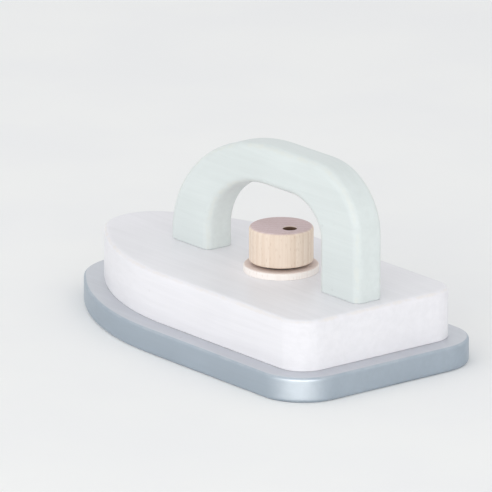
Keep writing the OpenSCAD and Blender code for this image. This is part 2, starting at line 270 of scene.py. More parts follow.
class Shell:
    """Patches of one closed surface: points, faces, how rubbed each point is, and a second mask for each
    point: how far it lacks paint or, on the knob, how much painted shade it takes.
    """

    def __init__(self):
        self.points, self.faces, self.rub, self.bare, self.count = [], [], [], [], 0

    def add(self, points, faces, rub=0.0, bare=0.0):
        points = np.asarray(points, float).reshape(-1, 3)
        self.points.append(points)
        self.faces += (np.asarray(faces) + self.count).tolist()
        self.rub.append(np.broadcast_to(rub, len(points)))
        self.bare.append(np.broadcast_to(bare, len(points)))
        self.count += len(points)

    def grid(self, points, rub=0.0, bare=0.0, closed=True):
        """Rows of points, each joined to the next row by four-sided faces, and closed round or left open."""
        rows, columns, _ = points.shape
        start = np.arange(rows - 1)[:, None] * columns
        here = np.arange(columns if closed else columns - 1)[None, :]
        after = (here + 1) % columns
        quads = np.stack([start + here, start + after, start + columns + after, start + columns + here], -1)
        spread = [np.repeat(np.broadcast_to(mask, rows), columns) for mask in (rub, bare)]
        self.add(points, quads.reshape(-1, 4), *spread)

    def flat(self, outline, holes, place):
        """Flat face with holes. It is triangulated, and a triangle is kept where an odd count of the edges
        lies to the right of its middle, which is inside the outline and outside the holes."""
        loops = [np.asarray(outline)] + [np.asarray(hole) for hole in holes]
        starts = np.cumsum([0] + [len(loop) for loop in loops])
        turns = [np.arange(len(loop)) for loop in loops]
        edges = [np.stack([turn, np.roll(turn, -1)], -1) + start for turn, start in zip(turns, starts)]
        low = np.concatenate(loops)
        high = np.concatenate([np.roll(loop, -1, 0) for loop in loops])
        corners = [Vector(point) for point in low]
        points, _, triangles, *_ = delaunay_2d_cdt(corners, np.concatenate(edges).tolist(), [], 0, 1e-9)
        points, triangles = np.array([tuple(point) for point in points]), np.array(triangles)
        middle = points[triangles].mean(1)
        spans = (low[:, 1] > middle[:, 1:]) != (high[:, 1] > middle[:, 1:])
        rise = np.where(high[:, 1] == low[:, 1], 1.0, high[:, 1] - low[:, 1])
        cross = low[:, 0] + (middle[:, 1:] - low[:, 1]) * (high[:, 0] - low[:, 0]) / rise
        inside = (spans & (middle[:, :1] < cross)).sum(1) % 2 == 1
        self.add(place(points), triangles[inside])

    def turned(self, centre, profile, rub=0.0, bare=0.0, count=HOLE_POINTS):
        """Surface of revolution: each radius of the profile is a circle about an upright axis."""
        loops = [level(circle(centre, radius, count), z) for radius, z in profile]
        self.grid(np.stack(loops), rub, bare)

    def bore(self, centre, profile):
        """Wall of a drilled hole, left without paint from just inside its mouth, and closed or open at its
        end.
        """
        profile = np.asarray(profile, float)
        first = profile[0] * (1 - MOUTH_SHARE) + profile[1] * MOUTH_SHARE
        last = profile[-1] * (1 - MOUTH_SHARE) + profile[-2] * MOUTH_SHARE
        rows = np.concatenate([profile[:1], [first], profile[1:-1], [last], profile[-1:]])
        bare = np.ones(len(rows))
        bare[0] = 0
        bare[-1] = float(profile[-1][0] == 0)
        self.turned(centre, rows, 0.0, bare)

    def swept(self, section, turns, wander=0.0):
        """A closed section of radius and height carried about the dial's axis through the given turns. Where
        the radius is past the section's middle, wander is added to it."""
        turns = np.asarray(turns)[:, None]
        reach = section[:, 0] + np.where(section[:, 0] > section[:, 0].mean(), wander, 0)
        height = np.broadcast_to(section[:, 1], reach.shape if reach.ndim > 1 else (len(turns), len(section)))
        points = np.stack([DIAL_AT[0] + reach * np.cos(turns), reach * np.sin(turns), height], -1)
        self.grid(points)
        return points

    def piece(self, name, paint, body, node):
        """Welds the patches, turns the faces outwards, and makes the piece that stands for the node."""
        mesh = bpy.data.meshes.new(name)
        mesh.from_pydata(np.concatenate(self.points), [], self.faces)
        for label, values in (("rub", self.rub), ("bare", self.bare)):
            data = mesh.attributes.new(label, "FLOAT", "POINT").data
            data.foreach_set("value", np.concatenate(values).astype(np.float32))
        form = bmesh.new()
        form.from_mesh(mesh)
        bmesh.ops.remove_doubles(form, verts=form.verts, dist=WELD)
        bmesh.ops.recalc_face_normals(form, faces=form.faces)
        form.to_mesh(mesh)
        form.free()
        mesh.shade_smooth()
        mesh.set_sharp_from_angle(angle=math.radians(SHARP_ANGLE))
        mesh.materials.append(paint)
        thing = bpy.data.objects.new(name, mesh)
        bpy.context.scene.collection.objects.link(thing)
        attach(thing, body)
        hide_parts(node)
        return thing


def slab(shell, base_inset, low, high, low_r, high_r, low_holes, high_holes):
    """Board with the iron's outline: a wall with two rounded edges, and two flat faces with holes in them."""
    inset, height, rub = rows_across(low, high, low_r, high_r)
    shell.grid(np.stack([level(plan_outline(base_inset + i), z) for i, z in zip(inset, height)]), rub)
    shell.flat(plan_outline(base_inset + inset[0]), low_holes, lambda points: level(points, low))
    shell.flat(plan_outline(base_inset + inset[-1]), high_holes, lambda points: level(points, high))


def countersunk_bore(screw, low, top):
    """Section of a countersunk screw's hole through a board, a fit gap wider than the screw all along."""
    head, shank = screw["head_r"] + FIT_GAP, screw["r"] + FIT_GAP
    cone_z = low + screw["sink"]
    return [(head + ARRIS / 2, low), (head, low + ARRIS / 2), (head, cone_z),
            (shank, cone_z + screw["head_r"] - screw["r"]), (shank, top)]


def make_soleplate(paint):
    """Board with the iron's outline and both edges rounded, and four countersunk holes right through it."""
    shell = Shell()
    low, high = sole_low[2], sole_high[2]
    hole = countersunk_bore(SOLE_SCREW, low, high)
    mouths = [[circle(place, hole[end][0]) for place in sole_screws] for end in (0, -1)]
    slab(shell, 0, low, high, SOLE_EDGE_R, SOLE_EDGE_R, *mouths)
    for place in sole_screws:
        shell.bore(place, hole)
    return shell.piece("Soleplate", paint, "iron", "soleplate")


def make_body(paint):
    """The same outline set in by the ledge. Screws come in from below, dowels from above, and the dial's
    screw runs in a bore above a pocket."""
    shell = Shell()
    low, high = body_low[2], body_high[2]
    screw_r, dowel_r, bore_r = SOLE_SCREW["r"] + FIT_GAP, DOWEL_R + FIT_GAP, DIAL_SCREW["r"] + RUN_GAP
    screw_floor = sole_low[2] + SOLE_SCREW["sink"] + SOLE_SCREW["length"] + END_GAP
    dowel_floor = dowel_low[2] - END_GAP
    pocket_top = low + POCKET_DEPTH
    through = countersunk_bore(HANDLE_SCREW, low, high)
    pocket = [(POCKET_R + ARRIS / 2, low), (POCKET_R, low + ARRIS / 2), (POCKET_R, pocket_top),
              (bore_r, pocket_top), (bore_r, high)]
    low_holes = ([circle(place, screw_r) for place in sole_screws]
                 + [circle(place, through[0][0]) for place in foot_screws] + [circle(DIAL_AT, pocket[0][0])])
    high_holes = ([circle(place, through[-1][0]) for place in foot_screws]
                  + [circle(place, dowel_r) for place in foot_dowels] + [circle(DIAL_AT, bore_r)])
    slab(shell, LEDGE, low, high, ARRIS, BODY_EDGE_R, low_holes, high_holes)
    for place in sole_screws:
        shell.bore(place, [(screw_r, low), (screw_r, screw_floor), (0, screw_floor)])
    for place in foot_screws:
        shell.bore(place, through)
    for place in foot_dowels:
        shell.bore(place, [(dowel_r, high), (dowel_r, dowel_floor), (0, dowel_floor)])
    shell.bore(DIAL_AT, pocket)
    return shell.piece("BodyBlock", paint, "iron", "body_block")


def make_handle(paint):
    """Arch cut from a board. Its outer edge and its opening's edge are lofted across the board's thickness
    with rounded edges, its two sides are flat, and each foot ends in a small bevel and a flat with holes."""
    shell = Shell()
    half = handle_high[1]
    inset, across, rub = rows_across(-half, half, HANDLE_EDGE_R, HANDLE_EDGE_R)
    depth = half - np.abs(across)
    bevel_in = ARRIS * np.clip(1 - inset / HANDLE_EDGE_R, 0, 1)
    bevel_across = -ARRIS * np.clip(1 - depth / HANDLE_EDGE_R, 0, 1) * np.sign(across)
    feet = []
    for edge in (outer_edge, inner_edge):
        wall = np.stack([upright(edge(i, DECK_Z + ARRIS), y) for i, y in zip(inset, across)])
        toes = np.stack([edge(i, DECK_Z)[[0, -1]] for i in inset + bevel_in])
        foot = np.insert(toes, 1, (across + bevel_across)[:, None], axis=2)
        shell.grid(np.concatenate([foot[:, :1], wall, foot[:, 1:]], 1), rub, closed=False)
        feet.append(foot)
    for side in (0, -1):
        face = np.concatenate([edge(inset[0], DECK_Z + ARRIS) for edge in (outer_edge, inner_edge)])
        shell.flat(face, [], lambda points: upright(points, across[side]))
    screw_r, dowel_r = HANDLE_SCREW["r"] + FIT_GAP, DOWEL_R + FIT_GAP
    screw_roof = body_low[2] + HANDLE_SCREW["sink"] + HANDLE_SCREW["length"] + END_GAP
    dowel_roof = dowel_high[2] + END_GAP
    for screw, dowel, outer_end, inner_end in zip(foot_screws, foot_dowels, (1, 0), (0, 1)):
        outer, inner = feet[0][:, outer_end], feet[1][:, inner_end]
        for side in (0, -1):
            strip = np.stack([outer[side], inner[side], inner[side], outer[side]])
            strip[2:, 1] = across[side]
            strip[2:, 2] = DECK_Z + ARRIS
            shell.add(strip, [[0, 1, 2, 3]])
        holes = [circle(screw, screw_r), circle(dowel, dowel_r)]
        shell.flat(np.concatenate([outer, inner[::-1]])[:, :2], holes, lambda points: level(points, DECK_Z))
        shell.bore(screw, [(screw_r, DECK_Z), (screw_r, screw_roof), (0, screw_roof)])
        shell.bore(dowel, [(dowel_r, DECK_Z), (dowel_r, dowel_roof), (0, dowel_roof)])
    return shell.piece("Handle", paint, "iron", "handle")


def make_ring(wood):
    """Flat turned ring under the dial, its upper edge rounded and its lower edge only softened."""
    shell = Shell()
    low, high = ring_low[2], ring_high[2]
    radius = (ring_high[0] - ring_low[0]) / 2
    inset, height, _ = rows_across(low, high, ARRIS / 2, RING_EDGE_R)
    wall = np.stack([radius - inset, height], -1)
    bore = [[DIAL_BORE_R, high], [DIAL_BORE_R, low]]
    shell.turned(DIAL_AT, np.concatenate([bore[1:], wall, bore]), count=ROUND_POINTS)
    return shell.piece("DialRing", wood, "iron", "dial_ring")


def make_knob(wood):
    """Turned knob with a rounded upper edge, a bored axis, and a flat-bottomed pointer hole off its axis
    with the small dimple that a drill's point leaves."""
    shell = Shell()
    low, high = knob_low[2], knob_high[2]
    radius = (knob_high[0] - knob_low[0]) / 2
    bore_roof = spring_low[2] + DIAL_SCREW["length"] + END_GAP
    pointer_at = DIAL_AT - [POINTER_OFFSET, 0]
    pointer_floor = high - POINTER_DEPTH
    inset, height, _ = rows_across(low, high, KNOB_BEVEL, KNOB_EDGE_R)
    wall = np.stack([radius - inset, height], -1)
    shell.turned(DIAL_AT, np.concatenate([[[DIAL_BORE_R, low]], wall]), count=ROUND_POINTS)
    mouth = rounding(ARRIS / 2) * [1, -1] + [POINTER_R, high]
    drilled = [[POINTER_R, high - ARRIS], [POINTER_R, pointer_floor], [DIMPLE_R, pointer_floor],
               [0, pointer_floor - DIMPLE_DEPTH]]
    # The pointer hole's walls take a dark brown painted shade
    pointer_shade = [0] * EDGE_POINTS + [1] * len(drilled)
    shell.turned(pointer_at, np.concatenate([mouth, drilled]), bare=pointer_shade, count=ROUND_POINTS)
    shell.flat(circle(DIAL_AT, wall[-1][0], ROUND_POINTS), [circle(pointer_at, mouth[0][0], ROUND_POINTS)],
               lambda points: level(points, high))
    shell.turned(DIAL_AT, [(DIAL_BORE_R, low), (DIAL_BORE_R, bore_roof), (0, bore_roof)], count=ROUND_POINTS)
    return shell.piece("DialKnob", wood, "dial", "dial_knob")


def make_felt(felt):
    """Felt washer: a soft-edged disc whose rim wanders in and out by a sum of a few sines of the angle."""
    shell = Shell()
    turns = np.linspace(0, math.tau, ROUND_POINTS + 1)[:, None]
    fuzz = FELT_FUZZ * sum(np.sin(waves * turns + phase) for waves, phase in FUZZ_WAVES) / len(FUZZ_WAVES)
    outer = (felt_high[0] - felt_low[0]) / 2
    section = rounded_section(DIAL_BORE_R, outer, felt_low[2], felt_high[2], FELT_EDGE_R)
    shell.swept(section, turns[:, 0], fuzz)
    return shell.piece("FeltWasher", felt, "iron", "felt_washer")


def make_plain_washer(steel):
    """Stamped washer: a flat ring with its edges a little rounded."""
    shell = Shell()
    outer = (washer_high[0] - washer_low[0]) / 2
    section = rounded_section(DIAL_BORE_R, outer, washer_low[2], washer_high[2], WASHER_EDGE_R)
    shell.swept(section, np.linspace(0, math.tau, ROUND_POINTS + 1))
    return shell.piece("PlainWasher", steel, "iron", "plain_washer")


def make_spring_washer(steel):
    """Split washer pressed flat: its section is swept from one side of the cut round to the other, and its
    two ends are flat."""
    shell = Shell()
    outer = (spring_high[1] - spring_low[1]) / 2
    section = rounded_section(DIAL_BORE_R, outer, spring_low[2], spring_high[2], WASHER_EDGE_R)
    start = math.asin(SPRING_CUT / (outer + DIAL_BORE_R))
    sweep = shell.swept(section, np.linspace(start, math.tau - start, ROUND_POINTS))
    for end in (0, -1):
        shell.add(sweep[end], [list(range(len(section)))])
    return shell.piece("SpringWasher", steel, "dial", "spring_washer")


def cross_radius(angle, half_length, half_width):
    """Outline of a cross about its middle: along each angle, the nearer of an arm's end and an arm's side."""
    turn = np.abs((angle + math.pi / 4) % (math.pi / 2) - math.pi / 4)
    return np.minimum(half_length / np.cos(turn), half_width / np.maximum(np.sin(turn), 1e-6))


def screw_surface(screw, neck, plain_end, tip, crown):
    """A screw from the middle of its recess over its head to its point, as rows of angle by angle points.
    The recess is a cross that narrows with depth. The face is flat, or a dome where there is a crown: z is
    the crown times one minus the root of one less the squared share of the radius. In the thread the radius
    is the shank's less the depth times one less a ridge, whose height follows z over pitch less the turn."""
    head_r, shank_r = screw["head_r"], screw["r"]
    arm, slot, recess = head_r * RECESS["arm"], head_r * RECESS["slot"], head_r * RECESS["depth"]
    corner = math.atan2(slot, arm)
    sector = np.concatenate([np.linspace(0, corner, 4)[:-1], np.linspace(corner, math.pi / 4, 5)])
    quarter = np.concatenate([sector, (math.pi / 2 - sector[:0:-1])[1:]])
    angle = np.concatenate([quarter + turn * math.pi / 2 for turn in range(4)])
    still = np.zeros_like(angle)
    mouth = cross_radius(angle, arm, slot)
    floor = cross_radius(angle, arm * RECESS_FLOOR["arm"], slot * RECESS_FLOOR["slot"])
    rows = [(still, still + recess), (floor, still + recess * RECESS_FLOOR["depth"])]
    for share in HEAD_ROWS:
        reach = mouth + (head_r - mouth) * share
        rows.append((reach, crown * (1 - np.sqrt(np.maximum(1 - (reach / head_r) ** 2, 0)))))
    rows += [(still + radius, still + z) for radius, z in neck]
    for z in np.arange(plain_end, tip, THREAD_PITCH / THREAD_ROWS):
        phase = (z / THREAD_PITCH - angle / math.tau) % 1
        ridge = np.maximum(1 - np.abs(2 * phase - 1) * THREAD_FLANK, 0)
        fade = min((z - plain_end) / THREAD_PITCH, 1)
        taper = min((tip - z) / SCREW_POINT, 1) ** POINT_CURVE
        rows.append(((shank_r - THREAD_DEPTH * (1 - ridge) * fade) * taper, still + z))
    rows.append((still, still + tip))
    return np.stack([np.stack([r * np.cos(angle), r * np.sin(angle), z], -1) for r, z in rows])


def make_screws(name, steel, screw, places, low, plain_end, body, node, head_h=0.0, crown=0.0):
    """Screws that point up, their heads lowest: countersunk, or with a domed head and a flat bearing face."""
    head_r, shank_r = screw["head_r"], screw["r"]
    neck = [(head_r, HEAD_RIM_H), (shank_r, head_r - shank_r), (shank_r, plain_end)]
    if crown:
        neck = [(head_r, head_h), (shank_r, head_h), (shank_r, plain_end)]
    surface = screw_surface(screw, neck, plain_end, head_h + screw["length"], crown)
    shell = Shell()
    for place in places:
        shell.grid(surface + [place[0], place[1], low])
    return shell.piece(name, steel, body, node)


def make_dowels(wood):
    """Fluted dowels: the radius less a groove wherever the cosine of the angle times the count of flutes is
    near one, and both ends bevelled."""
    angle = np.arange(DOWEL_POINTS) * math.tau / DOWEL_POINTS
    groove = DOWEL_FLUTE * np.clip(2 * np.cos(DOWEL_FLUTES * angle) - 1, 0, 1)
    low, high = dowel_low[2], dowel_high[2]
    section = [(0, low), (DOWEL_R - DOWEL_BEVEL, low), (DOWEL_R, low + DOWEL_BEVEL),
               (DOWEL_R, high - DOWEL_BEVEL), (DOWEL_R - DOWEL_BEVEL, high), (0, high)]
    reach = np.array([np.maximum(radius - groove, 0) for radius, _ in section])
    height = np.repeat([[z] for _, z in section], len(angle), 1)
    surface = np.stack([reach * np.cos(angle), reach * np.sin(angle), height], -1)
    shell = Shell()
    for place in foot_dowels:
        shell.grid(surface + [place[0], place[1], 0])
    return shell.piece("HandleDowels", wood, "iron", "handle_dowels")


# Shading

# Most of a noise lies between these values
NOISE_LOW = 0.3
NOISE_HIGH = 0.7

# Painted light and reflection on faces that turn up: where the paler colour begins, one being level, and how
# much of it a level face shows
PAINTED_TOP_LIGHT_FROM = 0.82
PAINTED_TOP_LIGHT_SHARE = 0.47

# Linear colours, dark and pale, of plain wood in a drilled hole and of the dark brown painted shade in the
# knob's pointer hole
DRILLED_WOOD = ((0.50, 0.34, 0.20, 1), (0.72, 0.55, 0.36, 1))
PAINTED_HOLE_SHADE = ((0.09, 0.05, 0.035, 1), (0.19, 0.115, 0.08, 1))


def make(tree, kind, sockets, **settings):
    """Adds a node with its settings. Then a socket that is given as a value is set, and one that is given as
    another node's output is linked."""
    node = tree.nodes.new(kind)
    for name, value in settings.items():
        setattr(node, name, value)
    for key, value in sockets.items():
        if isinstance(value, bpy.types.NodeSocket):
            tree.links.new(value, node.inputs[key])
        else:
            node.inputs[key].default_value = value
    return node


def maths(tree, operation, *values, clamp=False):
    sockets = dict(enumerate(values))
    return make(tree, "ShaderNodeMath", sockets, operation=operation, use_clamp=clamp).outputs[0]


def vector_maths(tree, operation, *values):
    return make(tree, "ShaderNodeVectorMath", dict(enumerate(values)), operation=operation).outputs


def remap(tree, value, low, high, to_low=0.0, to_high=1.0):
    """Carries one range smoothly into another, and holds a value that lies outside at the nearer end."""
    sockets = {0: value, 1: low, 2: high, 3: to_low, 4: to_high}
    return make(tree, "ShaderNodeMapRange", sockets, interpolation_type="SMOOTHSTEP").outputs[0]


def blend(tree, factor, first, second, how="MIX"):
    sockets = {0: factor, 6: first, 7: second}
    return make(tree, "ShaderNodeMix", sockets, data_type="RGBA", blend_type=how).outputs[2]


def noise(tree, vector, scale, detail=2.0, rough=0.5, distortion=0.0):
    sockets = {"Vector": vector, "Scale": scale, "Detail": detail, "Roughness": rough,
               "Distortion": distortion}
    return make(tree, "ShaderNodeTexNoise", sockets).outputs[0]


def stretch(tree, value, to_low=0.0, to_high=1.0):
    """Spreads the range that most of a noise lies in over another range."""
    return remap(tree, value, NOISE_LOW, NOISE_HIGH, to_low, to_high)


def scaled(tree, vector, scale):
    """A vector times a number for each axis. A larger number packs a pattern closer along that axis."""
    return vector_maths(tree, "MULTIPLY", vector, scale)[0]


def bump(tree, height, distance, normal=None):
    sockets = {"Height": height, "Distance": distance, "Strength": 1.0}
    if normal is not None:
        sockets["Normal"] = normal
    return make(tree, "ShaderNodeBump", sockets).outputs[0]


def new_group(name, inputs, outputs):
    """An empty shader group with named sockets: C for a colour, V for a vector and F for a number."""
    kinds = {"C": "NodeSocketColor", "V": "NodeSocketVector", "F": "NodeSocketFloat"}
    tree = bpy.data.node_groups.new(name, "ShaderNodeTree")
    for direction, sockets in (("INPUT", inputs), ("OUTPUT", outputs)):
        for label, kind in sockets.items():
            tree.interface.new_socket(name=label, in_out=direction, socket_type=kinds[kind])
    given = tree.nodes.new("NodeGroupInput").outputs
    result = tree.nodes.new("NodeGroupOutput").inputs
    return tree, given, result


def own_coordinates(tree):
    return make(tree, "ShaderNodeTexCoord", {}).outputs["Object"]


def facing_up(tree):
    normal = make(tree, "ShaderNodeTexCoord", {}).outputs["Normal"]
    return make(tree, "ShaderNodeSeparateXYZ", {0: normal}).outputs[2]


def attribute(tree, name):
    return make(tree, "ShaderNodeAttribute", {}, attribute_name=name).outputs[2]


def paint_group():
    """Sprayed paint on sanded wood: faint clouds, the grain just showing, orange peel, dust, edges rubbed
    thin, and plain wood in the drilled holes."""
    tree, given, result = new_group("Paint film", {"Paint": "C", "Primer": "C", "Grain": "V", "Rub": "F",
                                                   "Bare": "F", "Gloss": "F"},
                                    {"Colour": "C", "Roughness": "F", "Normal": "V", "Film": "F"})
    at = own_coordinates(tree)
    clouds = noise(tree, at, scale=26, detail=3)
    lines = noise(tree, scaled(tree, at, given["Grain"]), scale=1, detail=5, rough=0.6, distortion=0.4)
    peel = noise(tree, at, scale=620)
    cells = make(tree, "ShaderNodeTexVoronoi", {"Vector": at, "Scale": 170, "Randomness": 1.0}).outputs
    chosen = remap(tree, make(tree, "ShaderNodeSeparateColor", {0: cells["Color"]}).outputs[0], 0.86, 0.9)
    dust = maths(tree, "MULTIPLY", remap(tree, cells["Distance"], 0.13, 0.05), chosen)
    wear = noise(tree, at, scale=210, detail=4, rough=0.65)
    thin = remap(tree, maths(tree, "MULTIPLY", given["Rub"], wear), 0.36, 0.6)
    shade = maths(tree, "ADD", stretch(tree, clouds, -0.026, 0.016), stretch(tree, lines, -0.026, 0.016))
    shade = maths(tree, "SUBTRACT", shade, maths(tree, "MULTIPLY", dust, 0.05))
    sockets = {"Color": given["Paint"], "Value": maths(tree, "ADD", shade, 1.0)}
    tone = make(tree, "ShaderNodeHueSaturation", sockets).outputs[0]
    rubbed = blend(tree, maths(tree, "MULTIPLY", thin, 0.5), tone, given["Primer"])
    fibres = noise(tree, scaled(tree, at, (400, 400, 1500)), scale=1, detail=3)
    drilled = blend(tree, fibres, *DRILLED_WOOD)
    tree.links.new(blend(tree, given["Bare"], rubbed, drilled), result["Colour"])
    rough = maths(tree, "ADD", given["Gloss"], stretch(tree, clouds, -0.04, 0.05))
    rough = maths(tree, "ADD", rough, maths(tree, "MULTIPLY", maths(tree, "ADD", dust, thin), 0.08))
    rough = maths(tree, "MAXIMUM", rough, maths(tree, "MULTIPLY", given["Bare"], 0.85), clamp=True)
    tree.links.new(rough, result["Roughness"])
    tree.links.new(maths(tree, "SUBTRACT", 1.0, given["Bare"]), result["Film"])
    normal = bump(tree, lines, 0.05 * MM)
    normal = bump(tree, peel, 0.02 * MM, normal)
    normal = bump(tree, dust, 0.05 * MM, normal)
    normal = bump(tree, maths(tree, "MULTIPLY", thin, -1.0), 0.03 * MM, normal)
    tree.links.new(normal, result["Normal"])
    return tree


def wood_group():
    """Close-grained turned wood: year rings about an upright axis beside the piece, long fibres, short dark
    rays, faces that look up darker as end grain and as painted shade, early wood that is a little rougher,
    and dark brown painted shade on the walls of the pointer hole."""
    tree, given, result = new_group("Turned wood", {"Light": "C", "Dark": "C", "Ray": "C", "Pith": "V",
                                                    "End": "C", "Ring": "F", "HoleShade": "F"},
                                    {"Colour": "C", "Roughness": "F", "Normal": "V"})
    at = own_coordinates(tree)
    slow = scaled(tree, at, (1, 1, 0.25))
    sway = make(tree, "ShaderNodeTexNoise", {"Vector": slow, "Scale": 90, "Detail": 2}).outputs[1]
    drift = scaled(tree, vector_maths(tree, "SUBTRACT", sway, (0.5, 0.5, 0.5))[0], (2.4 * MM, 2.4 * MM, 0))
    moved = vector_maths(tree, "ADD", vector_maths(tree, "SUBTRACT", at, given["Pith"])[0], drift)[0]
    away = vector_maths(tree, "LENGTH", scaled(tree, moved, (1, 1, 0)))["Value"]
    year = maths(tree, "FRACT", maths(tree, "DIVIDE", away, given["Ring"]))
    late = maths(tree, "MULTIPLY", remap(tree, year, 0.15, 0.88), remap(tree, year, 1.0, 0.93))
    fibres = noise(tree, scaled(tree, at, (1300, 1300, 45)), scale=1, detail=4, rough=0.6)
    short = scaled(tree, at, (1500, 1500, 330))
    rays = make(tree, "ShaderNodeTexVoronoi", {"Vector": short, "Scale": 1.0}).outputs["Distance"]
    fleck = remap(tree, rays, 0.3, 0.12)
    clouds = noise(tree, at, scale=55)
    shade = maths(tree, "ADD", maths(tree, "MULTIPLY", late, 0.5), stretch(tree, fibres, -0.1, 0.3))
    shade = maths(tree, "ADD", shade, stretch(tree, clouds, -0.12, 0.2), clamp=True)
    colour = blend(tree, shade, given["Light"], given["Dark"])
    colour = blend(tree, maths(tree, "MULTIPLY", fleck, 0.35), colour, given["Ray"])
    # Faces that look up are darker: end grain on the knob, and painted shade on the knob's top and the ring's
    # top
    colour = blend(tree, remap(tree, facing_up(tree), 0.5, 1.0), colour,
                   blend(tree, 1.0, colour, given["End"], "MULTIPLY"))
    # Dark brown painted shade on the walls of the pointer hole
    hole_shade = blend(tree, fibres, *PAINTED_HOLE_SHADE)
    tree.links.new(blend(tree, given["HoleShade"], colour, hole_shade), result["Colour"])
    rough = remap(tree, maths(tree, "ADD", fibres, maths(tree, "MULTIPLY", late, -0.3)), 0.1, 0.8, 0.5, 0.72)
    tree.links.new(rough, result["Roughness"])
    normal = bump(tree, fibres, 0.03 * MM)
    normal = bump(tree, late, 0.02 * MM, normal)
    normal = bump(tree, maths(tree, "MULTIPLY", fleck, -1.0), 0.02 * MM, normal)
    tree.links.new(normal, result["Normal"])
    return tree


def metal_group():
    """Plated steel: fine marks round the axis, a faintly mottled plating, and dull patches."""
    tree, given, result = new_group("Plated steel", {"Metal": "C", "Tarnish": "C", "Gloss": "F"},
                                    {"Colour": "C", "Roughness": "F", "Normal": "V"})
    at = own_coordinates(tree)
    marks = noise(tree, scaled(tree, at, (500, 500, 9000)), scale=1, detail=3)
    spots = noise(tree, at, scale=1100, detail=4, rough=0.6)
    dull = remap(tree, spots, 0.45, 0.7)
    tree.links.new(blend(tree, dull, given["Metal"], given["Tarnish"]), result["Colour"])
    rough = maths(tree, "ADD", given["Gloss"], maths(tree, "MULTIPLY", dull, 0.2))
    tree.links.new(maths(tree, "ADD", rough, maths(tree, "MULTIPLY", marks, 0.1)), result["Roughness"])
    tree.links.new(bump(tree, spots, 0.01 * MM, bump(tree, marks, 0.008 * MM)), result["Normal"])
    return tree


def felt_group():
    """Pressed fibres: tangled pale and dark strands from two noises, and a soft relief."""
    tree, given, result = new_group("Pressed felt", {"Light": "C", "Dark": "C"},
                                    {"Colour": "C", "Normal": "V"})
    at = own_coordinates(tree)
    tangle = noise(tree, at, scale=1500, detail=5, rough=0.7, distortion=2.5)
    tufts = noise(tree, at, scale=420, detail=3)
    strands = remap(tree, maths(tree, "MULTIPLY", tangle, maths(tree, "ADD", tufts, 0.5)), 0.3, 0.75)
    tree.links.new(blend(tree, strands, given["Dark"], given["Light"]), result["Colour"])
    tree.links.new(bump(tree, strands, 0.12 * MM), result["Normal"])
    return tree


def new_material(name):
    material = bpy.data.materials.new(name)
    material.use_nodes = True
    material.node_tree.nodes.clear()
    return material, material.node_tree


def shaded(tree, group, given, shader_values):
    """Links a group's colour, roughness and normal to a surface shader, and the shader to the output."""
    effect = make(tree, "ShaderNodeGroup", given, node_tree=group)
    shader = make(tree, "ShaderNodeBsdfPrincipled", shader_values)
    for output, socket in (("Colour", "Base Color"), ("Roughness", "Roughness"), ("Normal", "Normal")):
        if output in effect.outputs:
            tree.links.new(effect.outputs[output], shader.inputs[socket])
    tree.links.new(shader.outputs[0], make(tree, "ShaderNodeOutputMaterial", {}).inputs[0])
    return effect, shader


def srgb(red, green, blue):
    """A colour as it shows on a screen, made linear for the shader."""
    value = np.array([red, green, blue])
    linear = np.where(value > 0.04045, ((value + 0.055) / 1.055) ** 2.4, value / 12.92)
    return (*linear.tolist(), 1.0)


def painted(name, group, paint, primer, grain, gloss, metallic=0.0, painted_top_light=None, lacquer=0.0,
            edge_tint=srgb(0.8, 0.8, 0.82)):
    """Paint on wood. A paler colour, where one is given, lies thinly over the paint on a face that looks up,
    as painted light and painted reflection. The edge tint is the colour of its gloss at a low angle."""
    material, tree = new_material(name)
    if painted_top_light:
        # Painted light: faces that look up are made paler, as if lit from above and reflecting the white body
        paint = blend(tree, remap(tree, facing_up(tree), PAINTED_TOP_LIGHT_FROM, 1.0, 0.0, PAINTED_TOP_LIGHT_SHARE), paint, painted_top_light)
    given = {"Paint": paint, "Primer": primer, "Grain": grain, "Gloss": gloss,
             "Rub": attribute(tree, "rub"), "Bare": attribute(tree, "bare")}
    effect, shader = shaded(tree, group, given, {"IOR": 1.47, "Coat Weight": lacquer, "Coat Roughness": 0.16,
                                                 "Specular Tint": edge_tint})
    if metallic:
        tree.links.new(maths(tree, "MULTIPLY", effect.outputs["Film"], metallic), shader.inputs["Metallic"])
    return material


def wooden(name, group, light, dark, ray, end, pith, ring):
    material, tree = new_material(name)
    given = {"Light": light, "Dark": dark, "Ray": ray, "End": end, "Pith": pith, "Ring": ring,
             # On the knob this mask lays dark brown painted shade in its pointer hole
             "HoleShade": attribute(tree, "bare")}
    shaded(tree, group, given, {"IOR": 1.45, "Specular IOR Level": 0.35})
    return material


def plated(name, group, metal, tarnish, gloss):
    material, tree = new_material(name)
    shaded(tree, group, {"Metal": metal, "Tarnish": tarnish, "Gloss": gloss}, {"Metallic": 1.0})
    return material


def felted(name, group, light, dark):
    material, tree = new_material(name)
    values = {"Roughness": 0.95, "Sheen Weight": 0.4, "Sheen Roughness": 0.5}
    shaded(tree, group, {"Light": light, "Dark": dark}, values)
    return material


paint_film, turned_wood, plated_steel, pressed_felt = paint_group(), wood_group(), metal_group(), felt_group()

# The silver grey paint's blue-green cast is partly painted reflection, standing in for a pale mint surface
# beside the iron
sole_paint = painted("Silver grey paint", paint_film, paint=srgb(0.67, 0.715, 0.757),
                     primer=srgb(0.76, 0.785, 0.81), grain=(18, 420, 420), gloss=0.46, metallic=0.9,
                     painted_top_light=srgb(0.925, 0.91, 0.915), lacquer=0.1, edge_tint=srgb(1, 1, 1))
